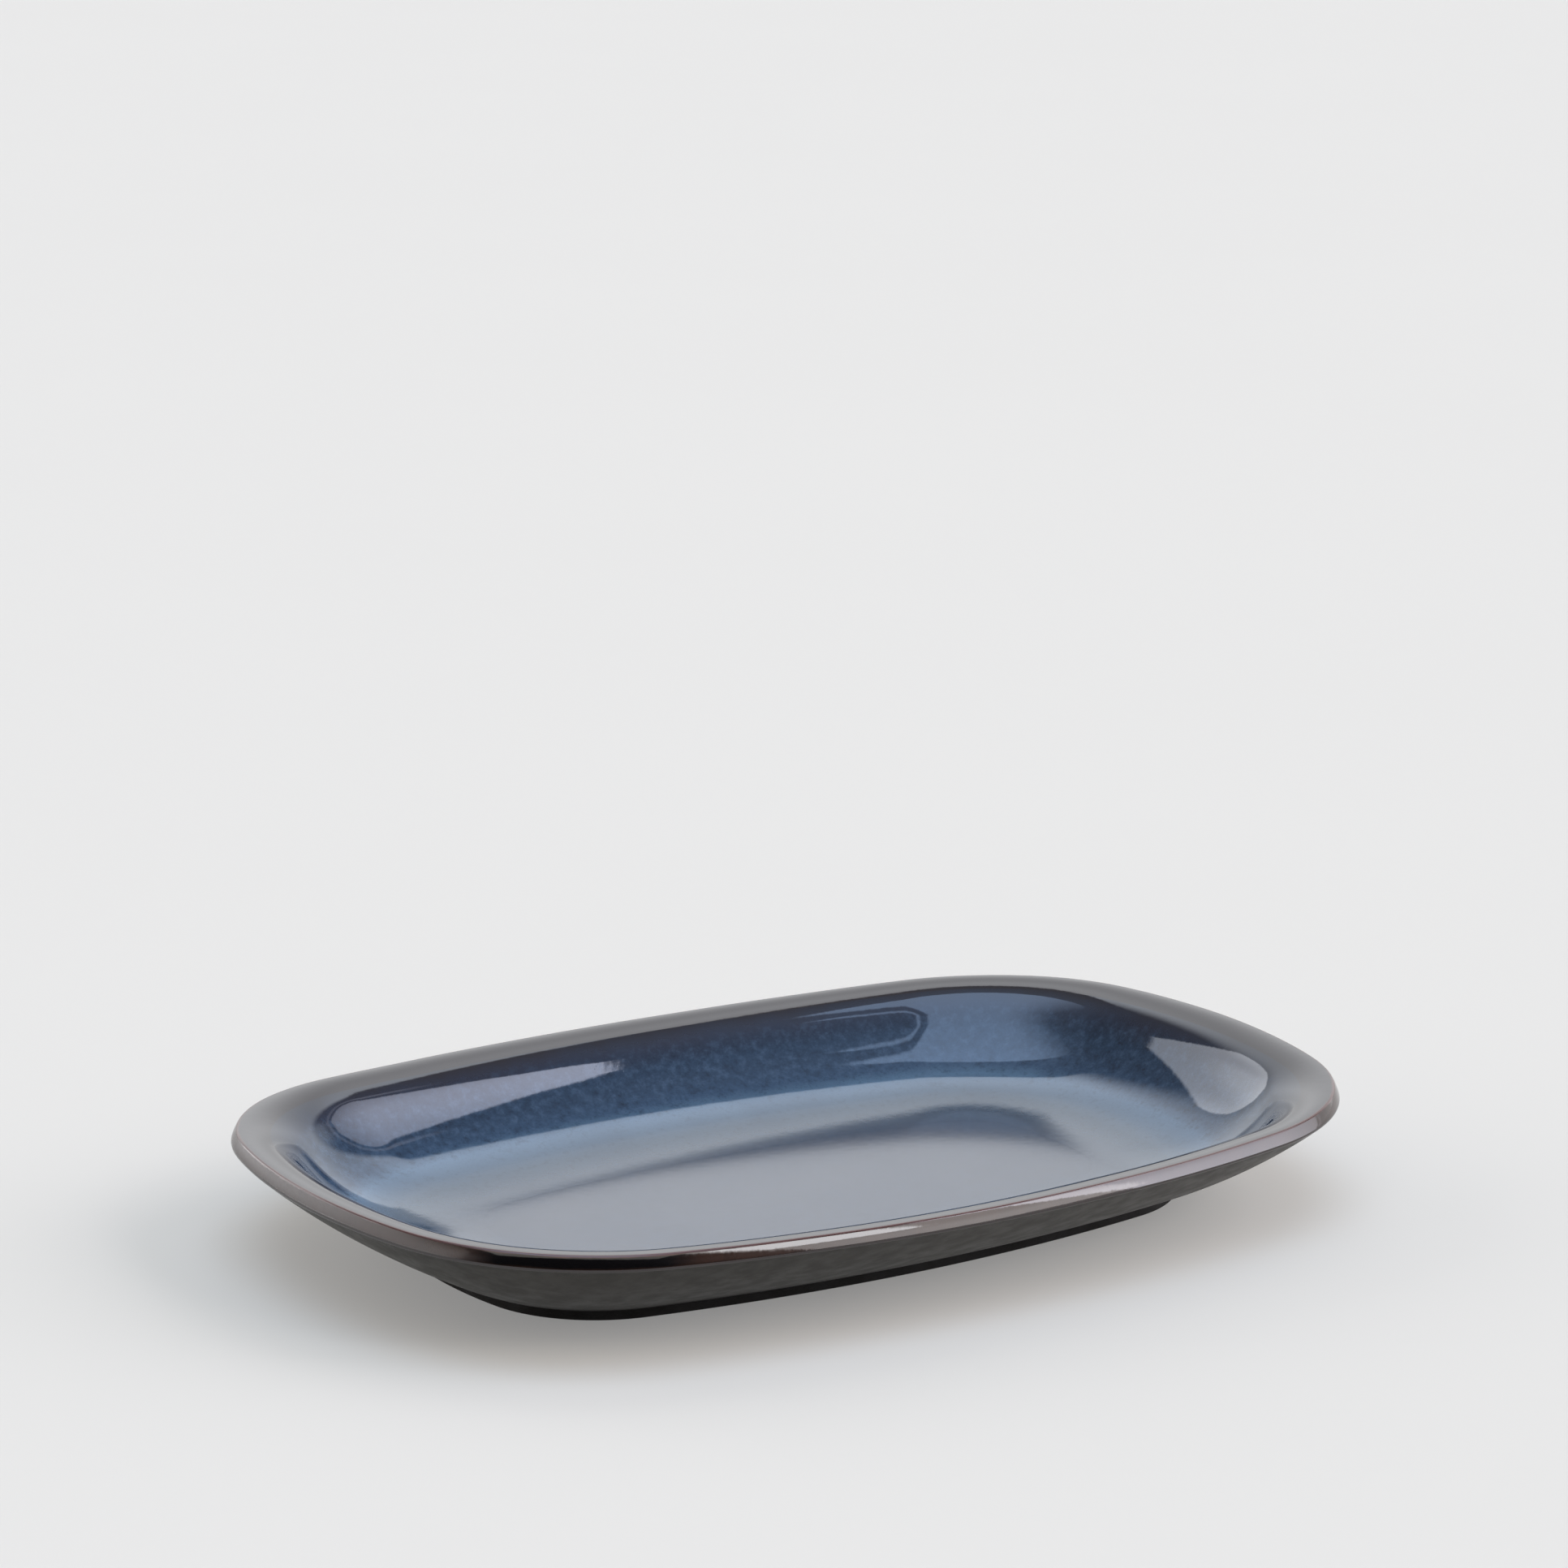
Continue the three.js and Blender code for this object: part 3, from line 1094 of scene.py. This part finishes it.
@dataclass
class GlazeCoats:
    """The glaze coats that lie on the clay: well, rim, outside and base."""

    wall: WallSection
    sweep: OvalSweep
    base_gap: float = 0.0064
    base_run: float = 0.12
    pieces: list[tuple[Coat, bpy.types.Object]] = field(default_factory=list)

    def coat(self, outer: Profile, inner: Profile) -> Profile:
        """A coat between its glazed face and the clay under it.

        Args:
            outer: Rows of the glazed face.
            inner: Rows of the clay face, in the same direction.

        Returns:
            A closed section.
        """
        profile = Profile().extend(outer).extend(inner.reversed())
        profile.closed = True
        return profile

    def well_profile(self) -> Profile:
        """The well's coat, from the middle of its face out and back to the middle of its underside.

        Returns:
            The section.
        """
        profile = self.coat(self.wall.well(0.0, 30), self.wall.well(self.wall.glaze, 12))
        profile.closed = False
        return profile

    def rim_profile(self) -> Profile:
        """The rim's coat, over the lip.

        Returns:
            The section.
        """
        depth = self.wall.glaze
        outer = self.wall.roll_top(0.0, 12).extend(self.wall.lip(0.0, 10))
        inner = self.wall.roll_top(depth, 4).extend(self.wall.lip(depth, 5))
        return self.coat(outer, inner)

    def outer_profile(self) -> Profile:
        """The outside's coat, from under the lip to the foot."""
        return self.coat(self.wall.outside(0.0, 26), self.wall.outside(self.wall.glaze, 10))

    def base_profile(self) -> Profile:
        """The base's coat inside the foot ring, with a softened edge.

        Returns:
            The section, from middle to middle.
        """
        inset = self.wall.foot_inset + self.base_gap
        top, low = self.wall.foot_height, self.wall.foot_height - self.wall.glaze
        ease = self.wall.glaze / 2
        rows = [(inset, top, share) for share in (0.0, 0.3, 0.6, 0.85, 1.0)]
        for step in range(1, 7):
            turn = step / 6 * math.pi / 2
            rows.append((inset + ease - ease * math.cos(turn), low + ease - ease * math.sin(turn), 1.0))
        rows += [(inset + ease, low, share) for share in (0.85, 0.6, 0.3, 0.0)]
        insets, heights, shrink = (list(column) for column in zip(*rows))
        return Profile(insets, heights, [0.0] * len(rows), shrink, [self.base_run] * len(rows))

    def build(self) -> None:
        """Makes the four coats."""
        shades = ((0.034, 0.032, 0.028), (0.058, 0.054, 0.048))
        base = OuterGlaze("base_glaze_satin", *shades, gloss=(0.24, 0.36), runny=0.0)
        self.pieces = [
            (Coat.WELL, self.sweep.make("well_coat", self.well_profile(), WellGlaze().make())),
            (Coat.RIM, self.sweep.make("rim_coat", self.rim_profile(), RimGlaze().make())),
            (Coat.OUTER, self.sweep.make("outer_coat", self.outer_profile(), OuterGlaze().make())),
            (Coat.BASE, self.sweep.make("base_coat", self.base_profile(), base.make())),
        ]

    def dress(self) -> None:
        """Puts the coats in the CAD frame."""
        for coat, piece in self.pieces:
            mount(coat, piece)


def mount(coat: Coat, piece: bpy.types.Object) -> None:
    """Lets a piece ride on the platter in place of its CAD node.

    Args:
        coat: Which piece it is.
        piece: The finished mesh object.
    """
    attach(piece, BODY)
    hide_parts(coat.node)
    LOG.info("%s stands for %s, %d faces", piece.name, coat.node, len(piece.data.polygons))


@dataclass(frozen=True)
class Panel:
    """A soft light at a distance, seen from the platter as a rounded rectangle.

    Turns are measured from straight behind the platter, as the camera sees it, and grow to the right.
    """

    turn: float
    elevation: float
    middle: tuple[float, float]
    half: tuple[float, float]
    corner: float
    strength: float
    tint: Colour = (1.0, 1.0, 1.0)
    roll: float = 0.0
    feather: float = 0.012
    ring: float = 0.0
    slant: float = 0.0
    fade: tuple[float, float] | None = None

    def axes(self, heading: float) -> tuple[Vector, Vector, Vector]:
        """Facing, sideways and upward directions of the panel.

        Args:
            heading: The camera's azimuth in radians.

        Returns:
            Three unit vectors.
        """
        turn, rise = math.radians(self.turn), math.radians(self.elevation)
        away = Vector((-math.sin(heading), math.cos(heading), 0.0))
        right = Vector((math.cos(heading), math.sin(heading), 0.0))
        level = away * math.cos(turn) + right * math.sin(turn)
        facing = level * math.cos(rise) + Vector((0.0, 0.0, math.sin(rise)))
        side = right * math.cos(turn) - away * math.sin(turn)
        return facing, side, side.cross(facing)

    def glow(self, tree: bpy.types.NodeTree, ray: Sequence[Term], heading: float) -> Term:
        """How strongly a direction meets the panel.

        Args:
            tree: The world's node tree; not used.
            ray: The direction's X, Y and Z.
            heading: The camera's azimuth in radians.

        Returns:
            The light of the panel in that direction.
        """
        facing, side, up = self.axes(heading)

        def along(axis: Vector) -> Term:
            """The direction's part along an axis."""
            return ray[0] * axis.x + ray[1] * axis.y + ray[2] * axis.z

        ahead = along(facing)
        depth = ahead.join("MAXIMUM", 0.02)
        x = along(side) / depth - self.middle[0]
        y = along(up) / depth - self.middle[1]
        roll = math.radians(self.roll)
        x, y = x * math.cos(roll) + y * math.sin(roll), y * math.cos(roll) - x * math.sin(roll)
        over_x = x.size() - (self.half[0] - self.corner)
        over_y = y.size() - (self.half[1] - self.corner)
        outer = (over_x.join("MAXIMUM", 0.0).squared() + over_y.join("MAXIMUM", 0.0).squared()).root()
        edge = outer + over_x.join("MAXIMUM", over_y).join("MINIMUM", 0.0) - self.corner
        glow = edge.step(-self.feather, self.feather, 1.0, 0.0)
        if self.ring:
            band = (edge - self.ring).size().step(self.ring * 0.2, self.ring * 0.5, 0.5, 0.0)
            glow = glow + band * (x * -1.0).step(self.half[0] * 0.5, self.half[0] * 0.8)
        if self.slant:
            glow = glow * (x * self.slant + 1.0).join("MAXIMUM", 0.15)
        if self.fade:
            glow = glow * x.step(*self.fade)
        return glow * ahead.step(0.02, 0.06) * self.strength


def tinted(tree: bpy.types.NodeTree, tint: Colour, strength: Term) -> bpy.types.NodeSocket:
    """A light's colour at its strength.

    Args:
        tree: The world's node tree.
        tint: The colour at full strength.
        strength: How strong the light is in a direction.

    Returns:
        The coloured light.
    """
    node = tree.nodes.new("ShaderNodeVectorMath")
    node.operation = "SCALE"
    node.inputs[0].default_value = tint
    feed(tree, node.inputs["Scale"], strength)
    return node.outputs[0]


def together(tree: bpy.types.NodeTree, first: Any, second: Any) -> bpy.types.NodeSocket:
    """Two lights in one.

    Args:
        tree: The world's node tree.
        first: A coloured light.
        second: Another.

    Returns:
        Their sum.
    """
    node = tree.nodes.new("ShaderNodeVectorMath")
    feed(tree, node.inputs[0], first)
    feed(tree, node.inputs[1], second)
    return node.outputs[0]


@dataclass
class Studio:
    """Pale table, soft surrounding light and the camera."""

    azimuth: float = math.radians(-32.56)
    elevation: float = math.radians(13.13)
    distance: float = 1.6645
    aside: tuple[float, float] = (0.0028, -0.1356)
    lens: float = 6500.0 / 1932.0 * 36.0
    table_reach: float = 30.0
    backdrop: Colour = (0.80, 0.80, 0.80)
    dark: float = 0.16
    daylight: Colour = (0.98, 0.99, 1.0)
    panels: tuple[Panel, ...] = (
        # Tall light to the right, mirrored at the left of the far wall
        Panel(
            73.0, 26.0, (0.12, 0.0), (0.43, 0.50), 0.17, 3.1, (0.95, 0.92, 1.0),
            roll=6.0, slant=1.6, ring=0.055,
        ),
        # Lights in front to the right, mirrored along the near lip
        Panel(115.0, 27.0, (0.0, 0.0), (0.24, 0.24), 0.03, 2.4, (1.08, 1.0, 0.95)),
        Panel(123.0, 33.0, (0.0, 0.0), (0.10, 0.10), 0.02, 6.0),
        # Lights to the left, mirrored at the right end and on the left lip
        Panel(-56.0, 18.0, (0.0, -0.01), (0.36, 0.32), 0.05, 1.8, (1.0, 0.98, 0.98)),
        Panel(-96.0, 17.0, (0.0, 0.0), (0.52, 0.32), 0.05, 0.55, (1.12, 1.0, 0.90)),
        # Light overhead, its bright frame, its glow and a warm fill high in front
        Panel(0.0, 89.9, (-0.12, 0.09), (0.50, 0.36), 0.09, 1.65, SKY, fade=(-0.60, -0.08)),
        Panel(0.0, 89.9, (0.465, 0.27), (0.016, 0.28), 0.014, 1.5, SKY),
        Panel(0.0, 89.9, (-0.10, 0.15), (0.62, 0.50), 0.45, 0.50, SKY, feather=0.45),
        Panel(0.0, 89.9, (0.0, 0.82), (0.95, 0.32), 0.05, 1.0, (1.12, 1.02, 0.90)),
    )

    def lay_table(self) -> None:
        """Lays a wide pale table under the foot."""
        reach = self.table_reach
        mesh = bpy.data.meshes.new("table_top")
        corners = [(-reach, -reach, 0.0), (reach, -reach, 0.0), (reach, reach, 0.0), (-reach, reach, 0.0)]
        mesh.from_pydata(corners, [], [(0, 1, 2, 3)])
        mesh.materials.append(PaleTable().make())
        table = bpy.data.objects.new("table_top", mesh)
        bpy.context.scene.collection.objects.link(table)

    def surround(self, ray: Sequence[Term]) -> Term:
        """The backdrop behind the platter, brighter towards its upper edge, and a low glow all round.

        Args:
            ray: The direction's X, Y and Z.

        Returns:
            The light in that direction.
        """
        away = ray[0] * -math.sin(self.azimuth) + ray[1] * math.cos(self.azimuth)
        right = ray[0] * math.cos(self.azimuth) + ray[1] * math.sin(self.azimuth)
        rise = ray[2]
        depth = away.join("MAXIMUM", 0.02)
        across, height = right / depth, rise / depth
        sides = across.step(-1.0, -0.45) * across.step(0.70, 0.88, 1.0, 0.0) * away.step(0.02, 0.10)
        tone = height.step(0.06, 0.27, 0.75, 1.25) - height.step(0.30, 0.55, 0.0, 0.15)
        tone = tone + height.step(0.65, 1.25, 0.0, 0.85)
        tone = tone * across.step(-0.1, 0.5, 1.0, 0.9)
        upper = height + across.step(0.25, 0.60, 0.0, 0.10)
        backdrop = sides * upper.step(1.44, 1.58, 1.0, 0.0) * tone * 0.95
        wings = right.size().step(0.50, 0.66) * away.step(-0.75, -0.35) * 0.8
        low = rise.step(0.34, 0.50, 1.0, 0.0)
        return backdrop + low * wings + away.step(-0.8, -0.3) * self.dark

    def light(self) -> None:
        """Surrounds the platter with a bright backdrop and soft panels, and shows the camera plain grey."""
        world = bpy.data.worlds.new("studio")
        world.use_nodes = True
        bpy.context.scene.world = world
        tree = world.node_tree
        tree.nodes.clear()
        coordinates = tree.nodes.new("ShaderNodeTexCoord")
        split = tree.nodes.new("ShaderNodeSeparateXYZ")
        tree.links.new(coordinates.outputs["Generated"], split.inputs[0])
        ray = [Term(tree, socket) for socket in split.outputs]

        colour = tinted(tree, self.daylight, self.surround(ray))
        for panel in self.panels:
            colour = together(tree, colour, tinted(tree, panel.tint, panel.glow(tree, ray, self.azimuth)))
        lights = tree.nodes.new("ShaderNodeBackground")
        feed(tree, lights.inputs["Color"], colour)
        plain = tree.nodes.new("ShaderNodeBackground")
        plain.inputs["Color"].default_value = (*self.backdrop, 1.0)
        path = tree.nodes.new("ShaderNodeLightPath")
        choice = tree.nodes.new("ShaderNodeMixShader")
        feed(tree, choice.inputs[0], path.outputs["Is Camera Ray"])
        feed(tree, choice.inputs[1], lights.outputs[0])
        feed(tree, choice.inputs[2], plain.outputs[0])
        output = tree.nodes.new("ShaderNodeOutputWorld")
        feed(tree, output.inputs["Surface"], choice.outputs[0])

    def stand_camera(self) -> None:
        """Stands the camera where the photograph was taken from."""
        turn, rise = self.azimuth, self.elevation
        right = Vector((math.cos(turn), math.sin(turn), 0.0))
        back = Vector((math.sin(turn) * math.cos(rise), -math.cos(turn) * math.cos(rise), math.sin(rise)))
        up = back.cross(right)
        eye = back * self.distance - right * self.aside[0] - up * self.aside[1]
        data = bpy.data.cameras.new("camera")
        data.sensor_width = 36.0
        data.lens = self.lens
        data.clip_start, data.clip_end = 0.01, 200.0
        camera = bpy.data.objects.new("camera", data)
        camera.matrix_world = Matrix((
            (right.x, up.x, back.x, eye.x),
            (right.y, up.y, back.y, eye.y),
            (right.z, up.z, back.z, eye.z),
            (0.0, 0.0, 0.0, 1.0),
        ))
        bpy.context.scene.collection.objects.link(camera)
        bpy.context.scene.camera = camera

    def build(self) -> None:
        """Sets the whole stage."""
        bpy.context.scene.view_settings.view_transform = "Standard"
        self.stand_camera()
        self.lay_table()
        self.light()


def main() -> None:
    """Builds the platter's pieces over the CAD frame and sets the stage."""
    logging.basicConfig(level=logging.INFO, format="%(name)s: %(message)s")
    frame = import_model()
    LOG.info("frame has nodes %s", ", ".join(sorted(frame["nodes"])))
    wall, sweep = WallSection(), OvalSweep(Oval())
    Studio().build()
    for assembly in (FiredBody(wall, sweep), GlazeCoats(wall, sweep)):
        assembly.build()
        assembly.dress()
        LOG.info("%s is done", type(assembly).__name__)


if __name__ == "__main__":
    main()
